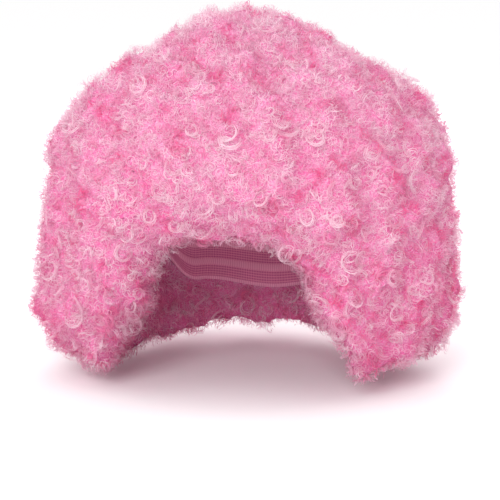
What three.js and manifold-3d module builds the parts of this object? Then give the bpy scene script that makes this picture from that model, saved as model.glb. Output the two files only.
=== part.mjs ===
// Afro wig: a stretch cap worn on the head, covered by a deep ball of tight curls that is open at the face.
// Millimetres, +Z up. The wearer faces -Y, with the left hand at +X.
// The origin is the inside of the cap's crown, where the top of the head bears.
import * as THREE from "three";
import { mergeVertices } from "three/addons/utils/BufferGeometryUtils.js";
import Module from "manifold-3d";

const wasm = await Module();
wasm.setup();

// Head that the cap fits
const HEAD_BREADTH = 158;
const HEAD_LENGTH = 198;
const CROWN_HEIGHT = 98; // from the head's widest level up to the crown

// Cap
const CAP_WALL = 1.6;
const CAP_COLUMNS = 36;
const CAP_ROWS = 9;

// The cap's rim, alike on both sides: its drop below the crown, by azimuth from forehead (0) to nape (180)
const CAP_RIM = [
  { azimuth: 0, drop: 62 },
  { azimuth: 42, drop: 68 },
  { azimuth: 74, drop: 122 }, // tab in front of the ear
  { azimuth: 98, drop: 108 }, // over the ear
  { azimuth: 135, drop: 146 },
  { azimuth: 180, drop: 156 },
];

// Ball of hair, measured from its middle
const HAIR_MIDDLE = -80;
const HAIR_SIDE = 161;
const HAIR_FRONT = 147;
const HAIR_BACK = 157;
const HAIR_UP = 161;
const HAIR_DOWN = 114;
const UPPER_ROUNDNESS = 2.05; // exponent of the outline: 2 is an ellipse, more is squarer
const LOWER_ROUNDNESS = 5.5;
const BALL_DETAIL = 17; // cuts along each edge of the icosahedron

// Large swells (push above 0) and dents (push below 0) of the ball. Azimuth is 0 at the face and 90 at the
// wearer's left, elevation is above the middle's level, and width is how far each one reaches, in degrees.
const SWELLS = [
  { azimuth: 115, elevation: 58, width: 18, push: -18 },
  { azimuth: 135, elevation: 73, width: 9, push: -4 },
  { azimuth: 105, elevation: 27, width: 9, push: 3 },
  { azimuth: 100, elevation: 0, width: 11, push: -10 },
  { azimuth: 96, elevation: -24, width: 11, push: 4 },
  { azimuth: -113, elevation: 72, width: 8, push: 5 },
  { azimuth: -95, elevation: 57, width: 16, push: -17 },
  { azimuth: -86, elevation: 33, width: 9, push: -8 },
  { azimuth: -84, elevation: 20, width: 9, push: 5 },
  { azimuth: -82, elevation: 9, width: 7, push: -5 },
  { azimuth: -76, elevation: -24, width: 6, push: 14 },
  { azimuth: -72, elevation: -38, width: 12, push: 9 },
  { azimuth: 15, elevation: 52, width: 18, push: -5 },
  { azimuth: -35, elevation: 25, width: 16, push: 4 },
  { azimuth: 165, elevation: 44, width: 18, push: -8 },
  { azimuth: -150, elevation: 18, width: 16, push: 5 },
  { azimuth: 140, elevation: -8, width: 14, push: -6 },
  { azimuth: -165, elevation: -26, width: 14, push: 5 },
];

// Locks that cover the ball
const LOCK_COUNT = 250;
const LOCK_REACH = 0.14; // half length of a lock, in radians round the ball
const LOCK_SLIMNESS = 0.72; // a lock's width as a share of its length
const LOCK_HEIGHT = 11;
const LOCK_SPREAD = 0.35; // how much locks differ in size
const GOLDEN_ANGLE = Math.PI * (3 - Math.sqrt(5));

// Gaps between the pieces
const SEAT_GAP = 0.7; // hair to cap
const PANEL_GAP = 0.5; // hair to hair

// Hollow for the head and neck: below the ears it widens towards the hair's lower edge
const HOLLOW_ROWS = 12;
const NECK_BOTTOM = -240;
const NECK_ROWS = [
  { height: -160, flare: 0 },
  { height: -176, flare: 2 },
  { height: -188, flare: 7 },
  { height: -198, flare: 15 },
  { height: NECK_BOTTOM, flare: 60 },
];

// Opening for the face: sections from the middle of the head forward, each an arch on two sides. The last
// ones widen fast, so that the hair rolls over at the opening's edge.
const FACE_SECTIONS = [
  { forward: 0, half_width: 58, arch_top: -88 },
  { forward: 72, half_width: 58, arch_top: -88 },
  { forward: 90, half_width: 60, arch_top: -87 },
  { forward: 105, half_width: 65, arch_top: -83 },
  { forward: 116, half_width: 74, arch_top: -77 },
  { forward: 124, half_width: 88, arch_top: -69 },
  { forward: 131, half_width: 108, arch_top: -60 },
  { forward: 137, half_width: 140, arch_top: -50 },
  { forward: 142, half_width: 190, arch_top: -38 },
  { forward: 190, half_width: 420, arch_top: 120 },
];
const ARCH_RISE = 44; // from the springing of the arch to its top
const ARCH_ROUNDNESS = 2.4;
const ARCH_STEPS = 20;

// How much wider the opening gets towards its foot, on each side
const CHEEK_ROWS = [
  { height: -138, spread: 4 },
  { height: -148, spread: 12 },
  { height: -158, spread: 21 },
  { height: -170, spread: 28 },
  { height: -184, spread: 33 },
  { height: NECK_BOTTOM, spread: 62 },
];
const EDGE_LUMP = 9; // how unevenly the locks end along the opening

// The hair's panels: the crown above a level, and sectors of azimuth below it
const CROWN_LEVEL = -25;
const PANELS = [
  { name: "hair_front", from: -27, to: 27 },
  { name: "hair_left", from: 27, to: 125 },
  { name: "hair_back", from: 125, to: 235 },
  { name: "hair_right", from: 235, to: 333 },
];
const BEYOND = 500; // past every edge of the hair

const hairMaterial = new THREE.MeshStandardMaterial({ color: 0xeb92b6, roughness: 0.7, metalness: 0 });
const capMaterial = new THREE.MeshStandardMaterial({ color: 0xd979a4, roughness: 0.85, metalness: 0 });

const radians = THREE.MathUtils.degToRad;

// A number from 0 to 1 that depends only on the seed.
function chance(seed) {
  const wave = Math.sin(seed * 12.9898 + 4.1414) * 43758.5453;
  return wave - Math.floor(wave);
}

// The value of a table's column at a place between its rows, eased so that it is level at each row.
function fromTable(rows, key, column, place) {
  const next = rows.findIndex((row) => row[key] >= place);
  if (next <= 0) return rows[0][column];
  const [low, high] = [rows[next - 1], rows[next]];
  const ease = THREE.MathUtils.smoothstep(place, low[key], high[key]);
  return THREE.MathUtils.lerp(low[column], high[column], ease);
}

// Direction from the middle of the hair, with azimuth and elevation in degrees.
function direction(azimuth, elevation) {
  const level = Math.cos(radians(elevation));
  const [left, ahead] = [Math.sin(radians(azimuth)), Math.cos(radians(azimuth))];
  return new THREE.Vector3(level * left, -level * ahead, Math.sin(radians(elevation)));
}

// A closed geometry as a solid.
function solidOf(geometry) {
  const bare = new THREE.BufferGeometry();
  bare.setAttribute("position", geometry.getAttribute("position"));
  bare.setIndex(geometry.getIndex());
  const merged = mergeVertices(bare, 1e-3);
  return new wasm.Manifold(
    new wasm.Mesh({
      numProp: 3,
      vertProperties: new Float32Array(merged.getAttribute("position").array),
      triVerts: new Uint32Array(merged.getIndex().array),
    }),
  );
}

// A named mesh of a solid.
function meshOf(solid, name, material) {
  const { vertProperties, triVerts } = solid.getMesh();
  const geometry = new THREE.BufferGeometry();
  geometry.setAttribute("position", new THREE.BufferAttribute(vertProperties, 3));
  geometry.setIndex(new THREE.BufferAttribute(triVerts, 1));
  geometry.computeVertexNormals();
  const mesh = new THREE.Mesh(geometry, material);
  mesh.name = name;
  return mesh;
}

// A solid through closed rings of points, shut at both ends by a fan to an apex.
// The rings run clockwise as seen from the first apex.
function loft(firstApex, rings, lastApex) {
  const size = rings[0].length;
  const last = rings.length - 1;
  const points = [firstApex, ...rings.flat(), lastApex];
  const at = (ring, column) => 1 + ring * size + (column % size);
  const triangles = [];
  for (let column = 0; column < size; column++) {
    triangles.push(0, at(0, column + 1), at(0, column));
    for (let ring = 0; ring < last; ring++) {
      triangles.push(at(ring, column), at(ring, column + 1), at(ring + 1, column));
      triangles.push(at(ring, column + 1), at(ring + 1, column + 1), at(ring + 1, column));
    }
    triangles.push(points.length - 1, at(last, column), at(last, column + 1));
  }
  const geometry = new THREE.BufferGeometry().setFromPoints(points);
  geometry.setIndex(triangles);
  return solidOf(geometry);
}

// A point of the head's surface, or of a surface offset outward from it. Arc is 0 at the crown and 1 at the
// widest level, and past 1 the surface runs straight down.
function headPoint(azimuth, arc, offset) {
  const dome = Math.min(arc, 1) * (Math.PI / 2);
  const breadth = (HEAD_BREADTH / 2 + offset) * Math.sin(dome);
  const length = (HEAD_LENGTH / 2 + offset) * Math.sin(dome);
  const below = Math.max(arc - 1, 0) * CROWN_HEIGHT;
  return new THREE.Vector3(
    breadth * Math.sin(azimuth),
    -length * Math.cos(azimuth),
    (CROWN_HEIGHT + offset) * Math.cos(dome) - CROWN_HEIGHT - below,
  );
}

// The arc at which the head's surface has dropped this far below the crown.
function arcAtDrop(drop) {
  if (drop > CROWN_HEIGHT) return drop / CROWN_HEIGHT;
  return Math.acos(1 - drop / CROWN_HEIGHT) / (Math.PI / 2);
}

// The azimuths of a ring's columns, clockwise as seen from above, in radians.
function turn(columns) {
  return Array.from({ length: columns }, (_, column) => (-2 * Math.PI * column) / columns);
}

// The cap: down its outside from the crown to the rim, and back up its inside.
function makeCap() {
  const ring = (share, offset) =>
    turn(CAP_COLUMNS).map((azimuth) => {
      const fromFace = THREE.MathUtils.radToDeg(Math.acos(Math.cos(azimuth)));
      const drop = fromTable(CAP_RIM, "azimuth", "drop", fromFace);
      return headPoint(azimuth, arcAtDrop(drop) * share, offset);
    });
  const shares = Array.from({ length: CAP_ROWS }, (_, row) => (row + 1) / CAP_ROWS);
  const outside = shares.map((share) => ring(share, CAP_WALL));
  const inside = shares.map((share) => ring(share, 0)).reverse();
  return loft(headPoint(0, 0, CAP_WALL), [...outside, ...inside], headPoint(0, 0, 0));
}

// The space for the cap, head and neck, which widens below the ears.
function makeHeadHollow() {
  const offset = CAP_WALL + SEAT_GAP;
  const arcs = Array.from({ length: HOLLOW_ROWS }, (_, row) => (row + 1) / HOLLOW_ROWS);
  const dome = arcs.map((arc) => ({ arc, flare: 0 }));
  const neck = NECK_ROWS.map(({ height, flare }) => ({ arc: -height / CROWN_HEIGHT, flare }));
  const rings = [...dome, ...neck].map(({ arc, flare }) =>
    turn(CAP_COLUMNS).map((azimuth) => headPoint(azimuth, arc, offset + flare)),
  );
  return loft(headPoint(0, 0, offset), rings, new THREE.Vector3(0, 0, NECK_BOTTOM));
}

// One outline of the face opening, from the foot of the wearer's right side over the arch to the left.
function faceOutline({ forward, half_width: halfWidth, arch_top: archTop }, section) {
  const springing = Math.max(archTop - ARCH_RISE, CHEEK_ROWS[0].height + 4);
  const side = CHEEK_ROWS.map(({ height, spread }) => {
    return { across: halfWidth + spread, height, out: 1, up: 0 };
  });
  const arch = Array.from({ length: ARCH_STEPS + 1 }, (_, step) => {
    const angle = Math.PI * (1 - step / ARCH_STEPS);
    const out = Math.sign(Math.cos(angle)) * Math.abs(Math.cos(angle)) ** (2 / ARCH_ROUNDNESS);
    const up = Math.sin(angle) ** (2 / ARCH_ROUNDNESS);
    return { across: halfWidth * out, height: springing + (archTop - springing) * up, out, up };
  });
  const right = side.toReversed().map((place) => ({ ...place, across: -place.across, out: -1 }));
  return [...right, ...arch, ...side].map(({ across, height, out, up }, index) => {
    const lump = EDGE_LUMP * (chance(100 * section + index) - 0.5);
    return new THREE.Vector3(across + lump * out, -forward, height + lump * up);
  });
}

// The space in front of the face.
function makeFaceOpening() {
  const rings = FACE_SECTIONS.map(faceOutline).reverse();
  const middle = ({ forward, arch_top: archTop }) =>
    new THREE.Vector3(0, -forward, (archTop + NECK_BOTTOM) / 2);
  return loft(middle(FACE_SECTIONS.at(-1)), rings, middle(FACE_SECTIONS[0]));
}

// How far the plain ball reaches in a direction.
function ballReach(way) {
  const side = way.x / HAIR_SIDE;
  const ahead = way.y / (way.y < 0 ? HAIR_FRONT : HAIR_BACK);
  const height = Math.abs(way.z) / (way.z < 0 ? HAIR_DOWN : HAIR_UP);
  const exponent = way.z < 0 ? LOWER_ROUNDNESS : UPPER_ROUNDNESS;
  return (Math.hypot(side, ahead) ** exponent + height ** exponent) ** (-1 / exponent);
}

// The swells and dents together, in a direction.
function swellAt(way) {
  return SWELLS.reduce((sum, { azimuth, elevation, width, push }) => {
    const off = way.angleTo(direction(azimuth, elevation)) / radians(width);
    return sum + push * Math.exp(-off * off);
  }, 0);
}

// The locks, spread evenly over the ball, each with its own size and lie.
function makeLocks() {
  return Array.from({ length: LOCK_COUNT }, (_, index) => {
    const height = 1 - (2 * (index + 0.5)) / LOCK_COUNT;
    const azimuth = index * GOLDEN_ANGLE + 0.25 * (chance(index) - 0.5);
    const level = Math.sqrt(1 - height * height);
    const way = new THREE.Vector3(level * Math.sin(azimuth), -level * Math.cos(azimuth), height);
    const lie = new THREE.Vector3(0, 0, 1).cross(way).normalize();
    lie.applyAxisAngle(way, 2 * Math.PI * chance(index + 500));
    const size = 1 + LOCK_SPREAD * (chance(index + 900) - 0.5);
    const side = way.clone().cross(lie);
    return { way, lie, side, reach: LOCK_REACH * size, height: LOCK_HEIGHT * size };
  });
}

// How far the highest lock stands out in a direction.
function lockAt(locks, way) {
  let highest = 0;
  for (const lock of locks) {
    if (lock.way.dot(way) < 0.9) continue;
    const along = way.dot(lock.lie) / lock.reach;
    const across = way.dot(lock.side) / (lock.reach * LOCK_SLIMNESS);
    highest = Math.max(highest, lock.height * (1 - along * along - across * across));
  }
  return highest;
}

// The whole outside of the hair as a solid ball.
function makeBall() {
  const locks = makeLocks();
  const geometry = new THREE.IcosahedronGeometry(1, BALL_DETAIL);
  const position = geometry.getAttribute("position");
  const way = new THREE.Vector3();
  for (let index = 0; index < position.count; index++) {
    way.fromBufferAttribute(position, index).normalize();
    const reach = ballReach(way) + swellAt(way) + lockAt(locks, way) - LOCK_HEIGHT / 2;
    way.multiplyScalar(reach);
    position.setXYZ(index, way.x, way.y, way.z + HAIR_MIDDLE);
  }
  return solidOf(geometry);
}

// A wedge of space between two azimuths below the crown's level, half a gap inside its own faces.
function sector(from, to) {
  const half = radians((to - from) / 2);
  const middle = radians((from + to) / 2);
  const setBack = PANEL_GAP / 2 / Math.sin(half);
  const corner = (azimuth, reach) =>
    new THREE.Vector2(
      setBack * Math.sin(middle) + reach * Math.sin(azimuth),
      -setBack * Math.cos(middle) - reach * Math.cos(azimuth),
    );
  const outline = [
    corner(middle, 0),
    corner(middle - half, BEYOND),
    corner(middle, BEYOND * 2),
    corner(middle + half, BEYOND),
  ];
  const shape = new THREE.Shape(outline);
  const geometry = new THREE.ExtrudeGeometry(shape, { depth: BEYOND, bevelEnabled: false });
  geometry.translate(0, 0, CROWN_LEVEL - PANEL_GAP / 2 - BEYOND);
  return solidOf(geometry);
}

// The space above the crown's level.
function aboveCrownLevel() {
  const geometry = new THREE.BoxGeometry(2 * BEYOND, 2 * BEYOND, BEYOND);
  geometry.translate(0, 0, CROWN_LEVEL + PANEL_GAP / 2 + BEYOND / 2);
  return solidOf(geometry);
}

const hair = makeBall().subtract(makeFaceOpening()).subtract(makeHeadHollow());

const wig = new THREE.Group();
wig.name = "afro_wig";
wig.add(meshOf(makeCap(), "cap", capMaterial));
wig.add(meshOf(hair.intersect(aboveCrownLevel()), "hair_crown", hairMaterial));
for (const { name, from, to } of PANELS) {
  wig.add(meshOf(hair.intersect(sector(from, to)), name, hairMaterial));
}

export default wig;
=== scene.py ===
"""Afro wig: tight pink curls over a felt of packed hair and a knitted cap, on a pale floor in soft light."""
import math

import bpy
import numpy as np
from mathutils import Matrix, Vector
from mathutils.bvhtree import BVHTree


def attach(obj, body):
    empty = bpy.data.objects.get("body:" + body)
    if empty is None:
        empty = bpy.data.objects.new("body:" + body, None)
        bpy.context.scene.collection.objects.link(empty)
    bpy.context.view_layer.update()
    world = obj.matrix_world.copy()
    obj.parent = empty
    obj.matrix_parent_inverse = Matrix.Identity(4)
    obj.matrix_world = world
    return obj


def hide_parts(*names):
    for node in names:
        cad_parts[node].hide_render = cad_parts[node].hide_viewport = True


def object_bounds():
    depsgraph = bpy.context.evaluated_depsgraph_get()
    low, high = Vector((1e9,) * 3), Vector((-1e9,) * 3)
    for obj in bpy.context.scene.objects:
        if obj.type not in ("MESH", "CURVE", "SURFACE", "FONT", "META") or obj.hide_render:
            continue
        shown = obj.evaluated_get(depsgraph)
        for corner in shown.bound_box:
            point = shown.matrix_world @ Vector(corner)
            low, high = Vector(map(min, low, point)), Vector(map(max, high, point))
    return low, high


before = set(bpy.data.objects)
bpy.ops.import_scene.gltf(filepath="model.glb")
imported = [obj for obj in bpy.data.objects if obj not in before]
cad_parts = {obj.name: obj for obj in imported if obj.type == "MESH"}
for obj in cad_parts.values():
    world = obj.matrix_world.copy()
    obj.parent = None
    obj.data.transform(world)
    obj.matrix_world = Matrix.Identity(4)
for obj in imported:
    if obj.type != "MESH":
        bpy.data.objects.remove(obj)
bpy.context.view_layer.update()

MM = 0.001
TINY = 1e-12
WELD = 0.01 * MM  # places nearer than this are one
SEED = 7
PIECE_SEED = 100 * SEED  # plus the number of the hair's piece

# Head and cap, as in the part
HEAD_BREADTH = 158 * MM
HEAD_LENGTH = 198 * MM
CROWN_HEIGHT = 98 * MM
CAP_WALL = 1.6 * MM
CAP_RIM = [
    {"azimuth": 0, "drop": 62},
    {"azimuth": 42, "drop": 68},
    {"azimuth": 74, "drop": 122},
    {"azimuth": 98, "drop": 108},
    {"azimuth": 135, "drop": 146},
    {"azimuth": 180, "drop": 156},
]

# Net, bands and hem of the cap
CAP_LEVEL = 1.15  # where a level rim would be, in quarter arcs from the crown
CAP_BANDS = 12  # rows where the hair is sewn on
CAP_LOOPS = 180  # loops of the net round the cap
NET_ROWS = CAP_LOOPS / 4  # from the crown to the rim
BAND_STITCHES = 0.75  # along a band, for each loop of the net
CAP_COLUMNS = 144  # of the mesh, round the cap
BAND_ROWS = 5  # of the mesh, from one band to the next
HEM_ROWS = 3  # of the mesh, at the rim
CAP_SKIN = 0.25 * MM  # the net lies this far within the wall
HEM_OUT = 0.25 * MM
HEM_IN = 0.55 * MM
SEAM_IN = 0.8 * MM  # the seam of a band stands this far in

# The hair's pieces: the solid each one covers and the side of it, fore or aft
HAIR_NODES = ["hair_crown", "hair_front", "hair_left", "hair_right", "hair_back"]
HAIR_PIECES = [
    {"name": "crown_front_curls", "node": "hair_crown", "side": -1},
    {"name": "crown_back_curls", "node": "hair_crown", "side": 1},
    {"name": "front_curls", "node": "hair_front", "side": 0},
    {"name": "left_curls", "node": "hair_left", "side": 0},
    {"name": "right_curls", "node": "hair_right", "side": 0},
    {"name": "back_curls", "node": "hair_back", "side": 0},
]
HAIR_MIDDLE = np.array([0.0, 0.0, -80 * MM])
HAIR_TOP = 84 * MM
HAIR_FOOT = -199 * MM
HAIR_TRIANGLES = 2.60  # for each square millimetre of hair that shows
INNER_DENSITY = 0.65  # curls that face the head, against those outside
INNER_FACING = 0.3  # a face that looks inward more than this faces the head
ROOT_SPLAY = 0.25  # how far curls stand away from the hair's middle instead of straight out

# Packed hair under the curls
MAT_STEP = 3.0 * MM  # from one vertex to the next
MAT_SWELL = 0.6 * MM  # closes the gaps between the solids
MAT_DEPTH = 3.4 * MM  # lies this far in
MAT_SHARE = 0.3  # but no further than this share of the hair's thickness
MAT_RAY = 0.5 * MM  # the thickness is measured from this far in
CAP_REACH = 2.5 * MM  # hair this near the cap is hidden by it
CAP_DEPTH = 1.0 * MM  # and lies this far in
HILL_SIZE = 12 * MM
HILL_SHARE = 0.3  # of the depth
HILL_SEED = SEED + 2
GRAIN_SIZE = 6 * MM
GRAIN_HEIGHT = 0.8 * MM
GRAIN_SEED = SEED + 4
SPIKE = 1.4 * MM  # a vertex further than this from the middle of its neighbours goes there
SPIKE_ROUNDS = 4

# Kinds of curl. Sizes in millimetres, tilt of the curl's axis from straight out in degrees,
# share: of the triangles, with the rest for the kind that has none,
# top: how many grow on the crown against the hair's foot, rise: along the axis, lift: of its middle,
# spread: how far the strands of a bundle part, fleck: how far their tints differ,
# wander: how far the middle of a curl turns away from its lowest place, in half turns.
CURLS = {
    "ring": {
        "share": 0.22, "top": 0.10, "strands": 7, "steps": 11, "radius": (4.5, 9.0), "turns": (0.5, 0.95),
        "rise": (0.5, 4.0), "tilt": (0, 45), "lift": (-2.0, 1.0), "spread": 1.2, "wander": 0.35,
        # the rings' tint is paler than the other kinds': a painted highlight on their arcs
        "width": 0.42, "tint": 0.70, "fleck": 0.04,
    },
    "coil": {
        "share": 0.36, "top": 1.0, "strands": 3, "steps": 9, "radius": (2.0, 4.4), "turns": (0.9, 1.4),
        "rise": (3.0, 8.0), "tilt": (20, 90), "lift": (-2.5, 0.8), "spread": 1.2, "wander": 1.0,
        "width": 0.42, "tint": 0.54, "fleck": 0.03,
    },
    "fuzz": {
        "top": 1.0, "strands": 1, "steps": 5, "radius": (0.9, 2.6), "turns": (0.6, 1.0),
        "rise": (2.0, 6.0), "tilt": (10, 90), "lift": (-2.0, 1.2), "spread": 0.0, "wander": 1.0,
        "width": 0.40, "tint": 0.53, "fleck": 0.04,
    },
}

# How the strands of a bundle differ, for a spread of 1, and the form of a strand
SCATTER = {"middle": 0.55, "radius": 0.5, "rise": 0.8, "turned": 0.18}
NARROWING = 0.22  # of a curl's radius towards its end
SWAY = 0.5  # in millimetres
SWAY_WAVES = (0.5, 1.5)  # along a strand
TURN_OUT = 0.35  # how far a strip faces away from its curl's axis
TIP_WIDTH = 0.35  # of the width in a strand's middle
WIDTH_RANGE = (0.8, 1.2)
NEAR_UPRIGHT = 0.9  # a curl's axis that is nearer upright is measured from X instead of Z

# Soft patches of paler and deeper curls: size in millimetres, weight, and what is added to the seed
PATCHES = [
    {"size": 30, "weight": 0.6, "seed": 0},
    {"size": 13, "weight": 0.7, "seed": 1},
    {"size": 7, "weight": 0.4, "seed": 5},
]
PATCH_TINT = 0.38
PATCH_LIFT = 1.2  # millimetres that paler curls stand out further

# Waves that make up soft lumps
WAVES = 7
WAVE_RANGE = (0.7, 1.6)  # of the lumps' size
WAVE_LEVEL = 2.6  # brings their sum to about -1 to 1

# How pale the hair is, from 0 to 1, with painted light towards the top and the front and painted shade where
# strands lie deep
TOP_LIGHT_LEVEL = -43 * MM
PAINTED_TOP_LIGHT = 0.85  # painted light: paler for each metre above that level
PAINTED_DEPTH_SHADE = 24  # painted shade: paler for each metre that a strand stands out, deeper where it lies low among the others
PAINTED_FRONT_LIGHT = 0.19  # painted light: paler where the hair faces forward
BUNDLE_FLECK = 0.03  # how far the tints of bundles differ
TINT_RANGE = (0.05, 0.97)

# The hair's colours from deep to pale, of strands and of the imported hair, whose colours are painted deeper
# as shade under the curls
HAIR_TINTS = [
    (0.00, (0.84, 0.150, 0.375)),
    (0.30, (0.84, 0.360, 0.555)),
    (0.55, (0.84, 0.555, 0.685)),
    (0.80, (0.86, 0.680, 0.765)),
    (1.00, (0.90, 0.800, 0.845)),
]
MAT_SHADED_TINTS = [
    (0.00, (0.64, 0.120, 0.300)),
    (0.30, (0.67, 0.265, 0.435)),
    (0.55, (0.71, 0.400, 0.530)),
    (0.80, (0.74, 0.510, 0.610)),
    (1.00, (0.77, 0.620, 0.690)),
]

# What a strand's colour is multiplied by from its root to its tip: painted shade at its root and, less, at
# its tip, and a painted highlight between; and for the light that comes through it
STRAND_HIGHLIGHT_AND_SHADE = [
    (0.00, (0.92, 0.70, 0.77)),
    (0.45, (1.0, 1.0, 1.0)),
    (0.65, (1.0, 1.0, 1.0)),
    (1.00, (0.97, 0.86, 0.90)),
]
THROUGH_TINT = (1.03, 0.97, 0.99, 1.0)
THROUGH_SHARE = 0.6

# Pattern of the imported hair: fibres wound in small bent curls, with flecks and patches; its tint starts
# deep, as painted shade under the curls
MAT_SHADED_TINT = 0.27
MAT_CURL = 9 * MM
MAT_BEND = 6 * MM
MAT_WINDINGS = 6
MAT_FLECK = 1.4 * MM
MAT_PATCH = 24 * MM
MAT_RIDGES = 0.3  # of the windings, against the flecks

# The cap's colours: thread and hole of the net, between and on the stitches of a band
NET_TINTS = [(0.10, (0.82, 0.330, 0.490)), (0.55, (0.55, 0.130, 0.280))]
BAND_TINTS = [(0.15, (0.66, 0.200, 0.360)), (0.45, (0.86, 0.400, 0.560))]
BAND_EDGE = [(0.15, (1.0, 1.0, 1.0)), (0.20, (0.0, 0.0, 0.0))]  # white on a band

# Maps: a strand's tint lies across and the place along it up, and the cap has a half for each of its sides
UV = "OFBake"
STRAND_MARGIN = 0.02  # at a strand's ends
STRAND_HALF = 0.004  # of its width
INSIDE_HALF = 0.5  # where the half for the cap's inside starts
CAP_MARGIN = 0.01
CAP_ACROSS = 0.48
CAP_TOP = 0.98
CAP_DOWN = 0.96

# Floor and light, in metres and watts
FLOOR_TINTS = [(0.3, (0.935, 0.935, 0.94)), (0.7, (0.95, 0.95, 0.95))]
FLOOR_NOISE = 3.0
FLOOR_REACH = 40.0
FLOOR_SIDES = 96
FLOOR_GAP = 2 * MM
LIGHT_AIM = (0, 0, -0.06)
LIGHTS = [
    {"name": "key", "place": (-0.10, -1.9, 0.75), "size": 0.9, "power": 25.0},
    {"name": "left_fill", "place": (1.9, 0.5, 0.5), "size": 1.0, "power": 6.0},
    {"name": "right_fill", "place": (-1.9, 0.5, 0.5), "size": 1.0, "power": 6.0},
    {"name": "back", "place": (0.0, 1.9, 0.6), "size": 1.0, "power": 13.0},
]
SKY_POWER = 1.2
SKY_SPREAD = math.radians(120)
WORLD_TINT = (1.0, 0.99, 0.985, 1.0)
WORLD_POWER = 0.69

# The photo's view
CAMERA_AZIMUTH = math.radians(10)
CAMERA_ELEVATION = math.radians(10)
CAMERA_DISTANCE = 1.6
FRAME_WIDTH = 0.389
FRAME_DROP = 0.0272  # of the frame's middle below the hair's
SENSOR_WIDTH = 36


class Finish:
    """A material built up of nodes round its Principled shader."""

    def __init__(self, name, roughness, specular):
        self.material = bpy.data.materials.new(name)
        self.material.use_nodes = True
        self.nodes = self.material.node_tree.nodes
        self.links = self.material.node_tree.links
        self.shader = self.nodes["Principled BSDF"]
        self.shader.inputs["Roughness"].default_value = roughness
        self.shader.inputs["Specular IOR Level"].default_value = specular

    def put(self, value, socket):
        """Gives an input a constant or another node's output."""
        if isinstance(value, bpy.types.NodeSocket):
            self.links.new(value, socket)
        else:
            socket.default_value = value

    def node(self, kind, **inputs):
        """A node with some of its inputs given by name."""
        made = self.nodes.new("ShaderNode" + kind)
        for name, value in inputs.items():
            self.put(value, made.inputs[name])
        return made

    def math(self, operation, *values):
        """The outcome of a calculation with these values."""
        made = self.nodes.new("ShaderNodeMath")
        made.operation = operation
        for value, socket in zip(values, made.inputs):
            self.put(value, socket)
        return made.outputs[0]

    def total(self, start, rows):
        """start plus, for each row, its output's distance from a middle times a factor."""
        value = start - sum(row["factor"] * row["middle"] for row in rows)
        for row in rows:
            value = self.math("MULTIPLY_ADD", row["output"], row["factor"], value)
        return value

    def split(self, vector):
        """A vector's three numbers."""
        made = self.node("SeparateXYZ", Vector=vector)
        return made.outputs["X"], made.outputs["Y"], made.outputs["Z"]

    def map_place(self):
        """Across and up on the map."""
        made = self.nodes.new("ShaderNodeUVMap")
        made.uv_map = UV
        return self.split(made.outputs["UV"])[:2]

    def noise(self, place, size):
        """Noise about this size across."""
        return self.node("TexNoise", Vector=place, Scale=1 / size)

    def bend(self, place, size, reach):
        """A place moved by noise of this size."""
        made = self.nodes.new("ShaderNodeVectorMath")
        made.operation = "MULTIPLY_ADD"
        way = self.noise(place, size).outputs["Color"]
        for value, socket in zip((way, (reach,) * 3, place), made.inputs):
            self.put(value, socket)
        return made.outputs[0]

    def ramp(self, factor, stops):
        """Colours through stops of (place, colour)."""
        made = self.node("ValToRGB", Fac=factor)
        elements = made.color_ramp.elements
        while len(elements) < len(stops):
            elements.new(0.5)
        for element, (place, colour) in zip(elements, stops):
            element.position = place
            element.color = (*colour, 1.0)
        return made.outputs["Color"]

    def mix(self, blend, factor, first, second):
        """Two colours mixed."""
        made = self.nodes.new("ShaderNodeMix")
        made.data_type = "RGBA"
        made.blend_type = blend
        for value, name in ((factor, "Factor"), (first, "A"), (second, "B")):
            self.put(value, made.inputs[name])
        return made.outputs["Result"]

    def colour(self, value):
        """Gives the shader its colour."""
        self.put(value, self.shader.inputs["Base Color"])

    def bump(self, height, strength, depth):
        """Gives the shader a relief."""
        made = self.node("Bump", Height=height, Strength=strength, Distance=depth)
        self.put(made.outputs["Normal"], self.shader.inputs["Normal"])

    def let_through(self, colour, share):
        """Lets a share of the light through, in a colour."""
        through = self.node("BsdfTranslucent", Color=colour)
        both = self.nodes.new("ShaderNodeMixShader")
        both.inputs["Fac"].default_value = share
        self.links.new(self.shader.outputs["BSDF"], both.inputs[1])
        self.links.new(through.outputs["BSDF"], both.inputs[2])
        self.links.new(both.outputs["Shader"], self.nodes["Material Output"].inputs["Surface"])


def fibre_finish():
    """Curled synthetic fibre: each strand has its tint, with a painted highlight in its middle and painted
    shade towards its root and, less, its tip.
    """
    finish = Finish("hair_fibre", roughness=0.6, specular=0.03)
    across, along = finish.map_place()
    # painted highlight in the strand's middle, painted shade at its ends
    painted_light_along = finish.ramp(along, STRAND_HIGHLIGHT_AND_SHADE)
    colour = finish.mix("MULTIPLY", 1.0, finish.ramp(across, HAIR_TINTS), painted_light_along)
    finish.colour(colour)
    finish.let_through(finish.mix("MULTIPLY", 1.0, colour, THROUGH_TINT), THROUGH_SHARE)
    return finish.material


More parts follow.
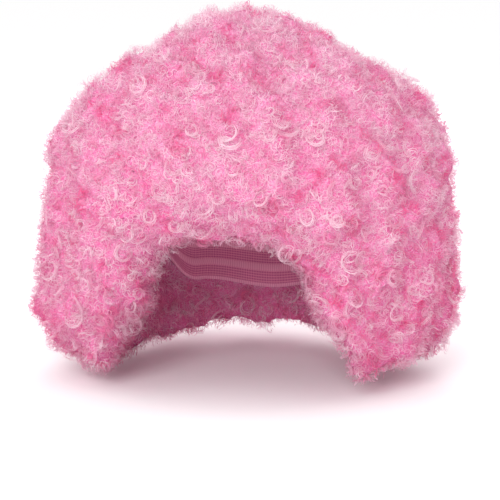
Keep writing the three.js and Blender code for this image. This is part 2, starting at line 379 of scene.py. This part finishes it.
def mat_finish():
    """Packed hair, painted deeper as shade under the curls: fine fibres wound round and round in small curls,
    with painted shade between them and painted light towards the top.
    """
    finish = Finish("hair_mat", roughness=0.8, specular=0.1)
    place = finish.nodes.new("ShaderNodeTexCoord").outputs["Object"]
    bent = finish.bend(place, MAT_CURL, MAT_BEND)
    apart = finish.node("TexVoronoi", Vector=bent, Scale=1 / MAT_CURL).outputs["Distance"]
    winding = finish.math("SINE", finish.math("MULTIPLY", apart, 2 * math.pi * MAT_WINDINGS))
    fleck = finish.noise(place, MAT_FLECK).outputs["Fac"]
    patch = finish.noise(place, MAT_PATCH).outputs["Fac"]
    height = finish.split(place)[2]
    tint = finish.total(MAT_SHADED_TINT, [
        {"output": winding, "factor": 0.13, "middle": 0.0},
        {"output": fleck, "factor": 0.9, "middle": 0.5},
        {"output": patch, "factor": 0.4, "middle": 0.5},
        # painted shade: deeper away from each small curl's middle, between the curls
        {"output": apart, "factor": -0.25, "middle": 0.4},
        # painted light: paler towards the top
        {"output": height, "factor": PAINTED_TOP_LIGHT, "middle": TOP_LIGHT_LEVEL},
    ])
    # painted shade: the packed hair's colours are deeper than the strands'
    finish.colour(finish.ramp(tint, MAT_SHADED_TINTS))
    relief = finish.math("MULTIPLY_ADD", winding, MAT_RIDGES, fleck)
    finish.bump(relief, strength=0.5, depth=0.8 * MM)
    return finish.material


def knit_finish():
    """Stretch net with rows of stitched bands where the hair is sewn on; matt."""
    finish = Finish("cap_knit", roughness=0.85, specular=0.2)
    across, up = finish.map_place()
    around = finish.math("MULTIPLY", across, 2 * math.pi * CAP_LOOPS / CAP_ACROSS)
    down = finish.math("MULTIPLY", finish.math("SUBTRACT", CAP_TOP, up), 1 / CAP_DOWN)
    meshes = finish.math("SINE", finish.math("MULTIPLY", down, 2 * math.pi * NET_ROWS))
    net = finish.math("MULTIPLY", finish.math("SINE", around), meshes)
    net_tone = finish.ramp(finish.math("ABSOLUTE", net), NET_TINTS)
    stitches = finish.math("ABSOLUTE", finish.math("SINE", finish.math("MULTIPLY", around, BAND_STITCHES)))
    band_tone = finish.ramp(stitches, BAND_TINTS)
    step = finish.math("FRACT", finish.math("MULTIPLY_ADD", down, CAP_BANDS, 0.5))
    off_band = finish.math("ABSOLUTE", finish.math("SUBTRACT", step, 0.5))
    finish.colour(finish.mix("MIX", finish.ramp(off_band, BAND_EDGE), net_tone, band_tone))
    finish.bump(stitches, strength=0.3, depth=0.5 * MM)
    return finish.material


def floor_finish():
    """Pale matt floor with the faintest unevenness."""
    finish = Finish("floor", roughness=0.9, specular=0.1)
    noise = finish.node("TexNoise", Scale=FLOOR_NOISE).outputs["Fac"]
    finish.colour(finish.ramp(noise, FLOOR_TINTS))
    return finish.material


def unit(vectors):
    """Vectors brought to a length of 1."""
    return vectors / np.maximum(np.linalg.norm(vectors, axis=-1, keepdims=True), TINY)


def face_normals(places, corners):
    """Each triangle's normal, twice as long as its area."""
    edges = places[corners]
    return np.cross(edges[:, 1] - edges[:, 0], edges[:, 2] - edges[:, 0])


def smooth_normals(places, corners):
    """Each vertex's normal, from the triangles round it."""
    faces = face_normals(places, corners)
    total = np.zeros_like(places)
    for corner in range(3):
        np.add.at(total, corners[:, corner], faces)
    return unit(total)


def neighbour_middles(places, corners):
    """The middle of each vertex's neighbours, on a closed surface."""
    total = np.zeros_like(places)
    count = np.zeros(len(places))
    for corner in range(3):
        np.add.at(total, corners[:, corner], places[corners[:, corner - 1]])
        np.add.at(count, corners[:, corner], 1)
    return total / count[:, None]


def without_spikes(places, corners):
    """A closed surface's places, with single ones that stand far out or in drawn to their neighbours."""
    for _ in range(SPIKE_ROUNDS):
        middles = neighbour_middles(places, corners)
        spikes = np.linalg.norm(places - middles, axis=1, keepdims=True) > SPIKE
        places = np.where(spikes, middles, places)
    return places


def triangles_of(mesh):
    """A mesh's vertices and triangles, with equal places made one."""
    mesh.calc_loop_triangles()
    places = np.empty(len(mesh.vertices) * 3)
    mesh.vertices.foreach_get("co", places)
    places = places.reshape(-1, 3)
    corners = np.empty(len(mesh.loop_triangles) * 3, np.int32)
    mesh.loop_triangles.foreach_get("vertices", corners)
    grid = np.round(places / WELD)
    _, first, same = np.unique(grid, axis=0, return_index=True, return_inverse=True)
    return places[first], same.reshape(-1)[corners].reshape(-1, 3)


def solids(nodes):
    """Vertices and triangles of some nodes, and the number of the node that each triangle is from."""
    places, corners, owners, count = [], [], [], 0
    for index, node in enumerate(nodes):
        own, faces = triangles_of(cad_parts[node].data)
        places.append(own)
        corners.append(faces + count)
        owners.append(np.full(len(faces), index))
        count += len(own)
    return np.concatenate(places), np.concatenate(corners), np.concatenate(owners)


def search_tree(places, corners):
    """A tree that finds the nearest of some triangles, or those that a ray meets."""
    return BVHTree.FromPolygons(places.tolist(), corners.tolist())


def fused(places, corners):
    """Solids that nearly meet, swollen until they do and fused into one even mesh."""
    mesh = bpy.data.meshes.new("fused")
    swollen = places + smooth_normals(places, corners) * MAT_SWELL
    mesh.from_pydata(swollen.tolist(), [], corners.tolist())
    made = bpy.data.objects.new("fused", mesh)
    bpy.context.scene.collection.objects.link(made)
    remesh = made.modifiers.new("fuse", "REMESH")
    remesh.mode = "VOXEL"
    remesh.voxel_size = MAT_STEP
    whole = made.evaluated_get(bpy.context.evaluated_depsgraph_get())
    places, corners = triangles_of(whole.data)
    bpy.data.objects.remove(made)
    bpy.data.meshes.remove(mesh)
    return places - smooth_normals(places, corners) * MAT_SWELL, corners


def by_cap(places, cap_tree):
    """Which places the cap hides."""
    return np.array([cap_tree.find_nearest(place, CAP_REACH)[0] is not None for place in places])


def hair_surface(cap_tree):
    """The hair's surface over all its solids, how densely curls grow on it and the node under each face."""
    own_places, own_corners, owners = solids(HAIR_NODES)
    places, corners = fused(own_places, own_corners)
    tree = search_tree(own_places, own_corners)
    centres = places[corners].mean(axis=1)
    faces = face_normals(places, corners)
    areas = np.linalg.norm(faces, axis=1) / 2
    outward = (centres[:, :2] * unit(faces)[:, :2]).sum(axis=1) / np.linalg.norm(centres[:, :2], axis=1)
    density = np.where(outward < -INNER_FACING, INNER_DENSITY, 1.0)
    return {
        "places": places,
        "corners": corners,
        "normals": smooth_normals(places, corners),
        "centres": centres,
        "weights": areas * ~by_cap(centres, cap_tree) * density,
        "owners": np.array([owners[tree.find_nearest(centre)[2]] for centre in centres]),
    }


def piece_weights(surface, row):
    """How densely curls grow on each face of one of the hair's pieces."""
    own = surface["owners"] == HAIR_NODES.index(row["node"])
    return surface["weights"] * own * (surface["centres"][:, 1] * row["side"] >= 0)


def lumps(places, size, seed):
    """Soft patches from about -1 to 1, about this size across."""
    rng = np.random.default_rng(seed)
    total = np.zeros(places.shape[:-1])
    for _ in range(WAVES):
        wave = rng.normal(size=3)
        wave *= 2 * math.pi / (size * rng.uniform(*WAVE_RANGE)) / np.linalg.norm(wave)
        total += np.sin(places @ wave + rng.uniform(0, 2 * math.pi))
    return total / WAVE_LEVEL


def grown_on(surface, weights, curl):
    """How densely one kind of curl grows on each face: some kinds grow more towards the hair's foot."""
    lowness = np.clip((HAIR_TOP - surface["centres"][:, 2]) / (HAIR_TOP - HAIR_FOOT), 0, 1)
    return weights * (curl["top"] + (1 - curl["top"]) * lowness)


def roots_on(surface, weights, count, rng):
    """Places spread over the faces by their weights, and the way the hair stands there."""
    edges = np.cumsum(weights)
    picks = (np.arange(count) + rng.random(count)) / count * edges[-1]
    face = np.searchsorted(edges, picks).clip(0, len(weights) - 1)
    share = rng.random((count, 2))
    over = share.sum(axis=1) > 1
    share[over] = 1 - share[over]
    share = np.column_stack([1 - share.sum(axis=1), share])[..., None]
    corners = surface["corners"][face]
    root = (surface["places"][corners] * share).sum(axis=1)
    normal = unit((surface["normals"][corners] * share).sum(axis=1))
    return root, unit((1 - ROOT_SPLAY) * normal + ROOT_SPLAY * unit(root - HAIR_MIDDLE))


def spokes(axis, turned, turns, along):
    """The ways from a curl's axis to the points along it, whose middle is turned from its lowest place."""
    upright = np.abs(axis[:, 2:]) > NEAR_UPRIGHT
    first = unit(np.cross(axis, np.where(upright, [[1.0, 0.0, 0.0]], [[0.0, 0.0, 1.0]])))
    second = np.cross(axis, first)
    lowest = np.arctan2(-second[:, 2], -first[:, 2])
    angle = (lowest + turned)[:, None] + 2 * math.pi * turns[:, None] * (along - 0.5)
    return first[:, None] * np.cos(angle)[..., None] + second[:, None] * np.sin(angle)[..., None]


def grow(root, out, curl, rng):
    """Paths of a bundle of strands at each root, with the way they face, their widths and their tints."""
    count, strands = len(root), curl["strands"]
    total = count * strands
    scatter = {name: share * curl["spread"] for name, share in SCATTER.items()}

    def bundle(name):
        return rng.uniform(*curl[name], count)

    def each(values, apart=0.0):
        return np.repeat(values, strands, axis=0) + rng.normal(0, apart, (total,) + values.shape[1:])

    patch = sum(lumps(root, row["size"] * MM, SEED + row["seed"]) * row["weight"] for row in PATCHES)
    tint = curl["tint"] + PATCH_TINT * patch + rng.normal(0, BUNDLE_FLECK, count)
    # painted light: paler towards the top and where the hair faces forward
    tint += PAINTED_TOP_LIGHT * (root[:, 2] - TOP_LIGHT_LEVEL) + PAINTED_FRONT_LIGHT * np.maximum(-out[:, 1], 0) ** 2
    aside = unit(np.cross(out, rng.normal(size=(count, 3))))
    tilt = np.radians(bundle("tilt"))[:, None]
    axis = each(unit(out * np.cos(tilt) + aside * np.sin(tilt)))
    lift = (bundle("lift") + PATCH_LIFT * patch)[:, None] * MM
    middle = each(root + out * lift, scatter["middle"] * MM)
    radius = each(bundle("radius"), scatter["radius"])
    rise = each(bundle("rise"), scatter["rise"])
    turns = each(bundle("turns") * rng.choice([-1, 1], count))
    turned = each(rng.uniform(-math.pi, math.pi, count) * curl["wander"], scatter["turned"])
    tint = each(tint, curl["fleck"])

    along = np.linspace(0, 1, curl["steps"] + 1)
    spoke = spokes(axis, turned, turns, along)
    sway = np.sin(2 * math.pi * (along * rng.uniform(*SWAY_WAVES, (total, 1)) + rng.random((total, 1))))
    reach = radius[:, None] * (1.0 - NARROWING * along) + SWAY * sway
    path = middle[:, None] + axis[:, None] * ((along - 0.5) * rise[:, None])[..., None] * MM
    path = path + spoke * reach[..., None] * MM
    stands_out = ((path - each(root)[:, None]) * each(out)[:, None]).sum(axis=-1)
    # painted shade: strands that lie deeper are painted deeper, those that stand out paler
    tint = np.clip(tint[:, None] + PAINTED_DEPTH_SHADE * stands_out, *TINT_RANGE)
    facing = unit(each(out)[:, None] + TURN_OUT * spoke)
    taper = TIP_WIDTH + (1 - TIP_WIDTH) * np.sin(math.pi * along) ** 0.5
    width = curl["width"] * MM * rng.uniform(*WIDTH_RANGE, (total, 1)) * taper
    return path, facing, width, tint


def strand_mesh(path, facing, width, tint):
    """Vertices, faces and map of strands as narrow strips that face outward."""
    total, steps = path.shape[0], path.shape[1] - 1
    ahead = unit(np.gradient(path, axis=1))
    across = unit(np.cross(ahead, facing)) * (width / 2)[..., None]
    vertices = np.stack([path - across, path + across], axis=2).reshape(-1, 3)
    start = (np.arange(total)[:, None] * (steps + 1) + np.arange(steps)) * 2
    quads = np.stack([start, start + 1, start + 3, start + 2], axis=-1).reshape(-1, 4)
    along = np.linspace(STRAND_MARGIN, 1 - STRAND_MARGIN, steps + 1)
    hair_map = np.stack(np.broadcast_arrays(tint, along), axis=-1).reshape(-1, 2)
    hair_map = np.repeat(hair_map, 2, axis=0)
    hair_map[::2, 0] -= STRAND_HALF
    hair_map[1::2, 0] += STRAND_HALF
    return vertices, quads, hair_map


def mesh_object(name, vertices, faces, finish, corner_map=None):
    """A smooth mesh object from arrays of vertices and faces, with a map place for each vertex if given."""
    loops = np.concatenate([group.reshape(-1) for group in faces]).astype(np.int32)
    sizes = np.concatenate([np.full(len(group), group.shape[1]) for group in faces])
    starts = np.concatenate([[0], np.cumsum(sizes)[:-1]]).astype(np.int32)
    mesh = bpy.data.meshes.new(name)
    mesh.vertices.add(len(vertices))
    mesh.vertices.foreach_set("co", vertices.astype(np.float32).reshape(-1))
    mesh.loops.add(len(loops))
    mesh.loops.foreach_set("vertex_index", loops)
    mesh.polygons.add(len(starts))
    mesh.polygons.foreach_set("loop_start", starts)
    mesh.polygons.foreach_set("use_smooth", np.ones(len(starts), bool))
    if corner_map is not None:
        layer = mesh.uv_layers.new(name=UV)
        layer.data.foreach_set("uv", corner_map[loops].astype(np.float32).reshape(-1))
    mesh.update(calc_edges=True)
    mesh.validate()
    mesh.materials.append(finish)
    made = bpy.data.objects.new(name, mesh)
    bpy.context.scene.collection.objects.link(made)
    return made


def make_mat(surface, cap_tree):
    """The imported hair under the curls: the hair's surface drawn in, rough and without spikes."""
    places, corners, normals = surface["places"], surface["corners"], surface["normals"]
    tree = search_tree(places, corners)
    inside = places - normals * MAT_RAY
    through = [tree.ray_cast(start, -way)[3] for start, way in zip(inside, normals)]
    thickness = np.array([0.0 if length is None else length for length in through])
    hills = HILL_SHARE * lumps(places, HILL_SIZE, HILL_SEED)
    grain = GRAIN_HEIGHT * lumps(places, GRAIN_SIZE, GRAIN_SEED)
    depth = np.minimum(MAT_DEPTH * (1 + hills) - grain, MAT_SHARE * thickness)
    depth = np.where(by_cap(places, cap_tree), CAP_DEPTH, depth)
    places = without_spikes(places - normals * depth[:, None], corners)
    made = mesh_object("hair_mat", places, [corners], mat_finish())
    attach(made, "root")
    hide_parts(*HAIR_NODES)


def make_curls(row, surface, rng, finish):
    """One piece of the hair, from its kinds of curl."""
    weights = piece_weights(surface, row)
    budget = HAIR_TRIANGLES * weights.sum() / MM ** 2
    left = budget
    parts = []
    for curl in CURLS.values():
        grown = grown_on(surface, weights, curl)
        spent = left
        if "share" in curl:
            spent = budget * curl["share"] * grown.sum() / weights.sum()
        left -= spent
        count = int(spent / (curl["steps"] * 2 * curl["strands"]))
        root, out = roots_on(surface, grown, count, rng)
        parts.append(strand_mesh(*grow(root, out, curl, rng)))
    shift = np.cumsum([0] + [len(vertices) for vertices, _, _ in parts[:-1]])
    made = mesh_object(
        row["name"],
        np.concatenate([vertices for vertices, _, _ in parts]),
        [quads + move for (_, quads, _), move in zip(parts, shift)],
        finish,
        np.concatenate([hair_map for _, _, hair_map in parts]),
    )
    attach(made, "root")
    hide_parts(row["node"])


def rim_drop(azimuth):
    """The cap's drop below the crown at an azimuth in radians, as in the part."""
    place = math.degrees(math.acos(max(-1.0, min(1.0, math.cos(azimuth)))))
    for low, high in zip(CAP_RIM, CAP_RIM[1:]):
        if place <= high["azimuth"]:
            share = max(0.0, (place - low["azimuth"]) / (high["azimuth"] - low["azimuth"]))
            ease = share * share * (3 - 2 * share)
            return (low["drop"] + (high["drop"] - low["drop"]) * ease) * MM
    return CAP_RIM[-1]["drop"] * MM


def rim_arc(azimuth):
    """The cap's rim at an azimuth in radians, in quarter arcs from the crown."""
    drop = rim_drop(azimuth)
    if drop > CROWN_HEIGHT:
        return drop / CROWN_HEIGHT
    return math.acos(1 - drop / CROWN_HEIGHT) / (math.pi / 2)


def head_point(azimuth, arc, offset):
    """A point of the head's surface, or offset outward from it, as in the part."""
    dome = min(arc, 1.0) * math.pi / 2
    below = max(arc - 1.0, 0.0) * CROWN_HEIGHT
    return (
        (HEAD_BREADTH / 2 + offset) * math.sin(dome) * math.sin(azimuth),
        -(HEAD_LENGTH / 2 + offset) * math.sin(dome) * math.cos(azimuth),
        (CROWN_HEIGHT + offset) * math.cos(dome) - CROWN_HEIGHT - below,
    )


def cap_rows():
    """Rows of the cap's mesh, down the outside and up the inside: share of the way to the rim, and offset."""
    last = BAND_ROWS * CAP_BANDS
    rows = []
    for row in range(1, last + 1):
        hem = HEM_OUT if row > last - HEM_ROWS else 0.0
        rows.append({"share": row / last, "offset": CAP_WALL - CAP_SKIN + hem, "inside": False})
    for row in range(last, 0, -1):
        at_hem = row > last - HEM_ROWS
        hem = HEM_IN if at_hem else 0.0
        seam = SEAM_IN if row % BAND_ROWS == 0 and not at_hem else 0.0
        rows.append({"share": row / last, "offset": CAP_SKIN - hem - seam, "inside": True})
    return rows


def cap_map(share, turn, inside):
    """The place on the map at a share of the way to the rim and of a turn."""
    start = INSIDE_HALF if inside else 0.0
    return start + CAP_MARGIN + CAP_ACROSS * turn, CAP_TOP - CAP_DOWN * share


def make_cap(finish):
    """The knitted cap: a dome with rows of seams where the hair is sewn on, and a rolled hem."""
    rows = cap_rows()
    width = CAP_COLUMNS + 1
    vertices, places, quads, tops = [], [], [], []
    for row in rows:
        for column in range(width):
            turn = column / CAP_COLUMNS
            azimuth = 2 * math.pi * turn
            arc = CAP_LEVEL * row["share"] + (rim_arc(azimuth) - CAP_LEVEL) * row["share"] ** 2
            vertices.append(head_point(azimuth, arc, row["offset"]))
            places.append(cap_map(row["share"], turn, row["inside"]))
    for row in range(len(rows) - 1):
        for corner in range(row * width, row * width + CAP_COLUMNS):
            below = corner + width
            quads.append((below, below + 1, corner + 1, corner))
    for row, inside, offset in ((0, False, CAP_WALL - CAP_SKIN), (len(rows) - 1, True, CAP_SKIN)):
        top = len(vertices)
        vertices.append(head_point(0, 0, offset))
        places.append(cap_map(0, 0.5, inside))
        for corner in range(row * width, row * width + CAP_COLUMNS):
            tops.append((corner + 1, corner, top) if inside else (corner, corner + 1, top))
    faces = [np.array(quads), np.array(tops)]
    made = mesh_object("cap_knit", np.array(vertices), faces, finish, np.array(places))
    weld = made.modifiers.new("weld", "WELD")
    weld.merge_threshold = WELD
    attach(made, "root")
    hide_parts("cap")


def make_floor(height):
    """A wide pale floor under the hair."""
    around = [2 * math.pi * side / FLOOR_SIDES for side in range(FLOOR_SIDES)]
    vertices = [(FLOOR_REACH * math.cos(angle), FLOOR_REACH * math.sin(angle), height) for angle in around]
    mesh = bpy.data.meshes.new("floor")
    mesh.from_pydata(vertices, [], [list(range(FLOOR_SIDES))])
    mesh.materials.append(floor_finish())
    made = bpy.data.objects.new("floor", mesh)
    bpy.context.scene.collection.objects.link(made)


def make_light(row):
    """A soft round light that the camera doesn't see."""
    data = bpy.data.lights.new(row["name"], "AREA")
    data.shape = "DISK"
    data.size = row["size"]
    data.energy = row["power"]
    made = bpy.data.objects.new(row["name"], data)
    made.location = row["place"]
    made.rotation_mode = "QUATERNION"
    made.rotation_quaternion = (Vector(LIGHT_AIM) - Vector(row["place"])).to_track_quat("-Z", "Y")
    made.visible_camera = False
    bpy.context.scene.collection.objects.link(made)


def make_sky_light():
    """A broad light from straight above, for the floor and the crown."""
    data = bpy.data.lights.new("above", "SUN")
    data.energy = SKY_POWER
    data.angle = SKY_SPREAD
    made = bpy.data.objects.new("above", data)
    bpy.context.scene.collection.objects.link(made)


def make_camera():
    """The photo's view: a little to the wearer's left and above, with the hair in the frame's upper part."""
    back = Vector((
        math.sin(CAMERA_AZIMUTH) * math.cos(CAMERA_ELEVATION),
        -math.cos(CAMERA_AZIMUTH) * math.cos(CAMERA_ELEVATION),
        math.sin(CAMERA_ELEVATION),
    ))
    right = Vector((math.cos(CAMERA_AZIMUTH), math.sin(CAMERA_AZIMUTH), 0))
    up = back.cross(right)
    target = Vector(HAIR_MIDDLE) - up * FRAME_DROP
    data = bpy.data.cameras.new("camera")
    data.sensor_width = SENSOR_WIDTH
    data.lens = SENSOR_WIDTH * CAMERA_DISTANCE / FRAME_WIDTH
    made = bpy.data.objects.new("camera", data)
    made.location = target + back * CAMERA_DISTANCE
    made.rotation_mode = "QUATERNION"
    made.rotation_quaternion = (-back).to_track_quat("-Z", "Y")
    bpy.context.scene.collection.objects.link(made)
    bpy.context.scene.camera = made


def make_world():
    """Even light from all round."""
    world = bpy.data.worlds.new("studio")
    world.use_nodes = True
    background = world.node_tree.nodes["Background"]
    background.inputs["Color"].default_value = WORLD_TINT
    background.inputs["Strength"].default_value = WORLD_POWER
    bpy.context.scene.world = world


bpy.context.scene.view_settings.view_transform = "Standard"
make_camera()
make_world()
for row in LIGHTS:
    make_light(row)
make_sky_light()

cap_tree = search_tree(*solids(["cap"])[:2])
surface = hair_surface(cap_tree)
fibre = fibre_finish()
make_cap(knit_finish())
make_mat(surface, cap_tree)
for index, row in enumerate(HAIR_PIECES):
    make_curls(row, surface, np.random.default_rng(PIECE_SEED + index), fibre)
low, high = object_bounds()
make_floor(low.z - FLOOR_GAP)
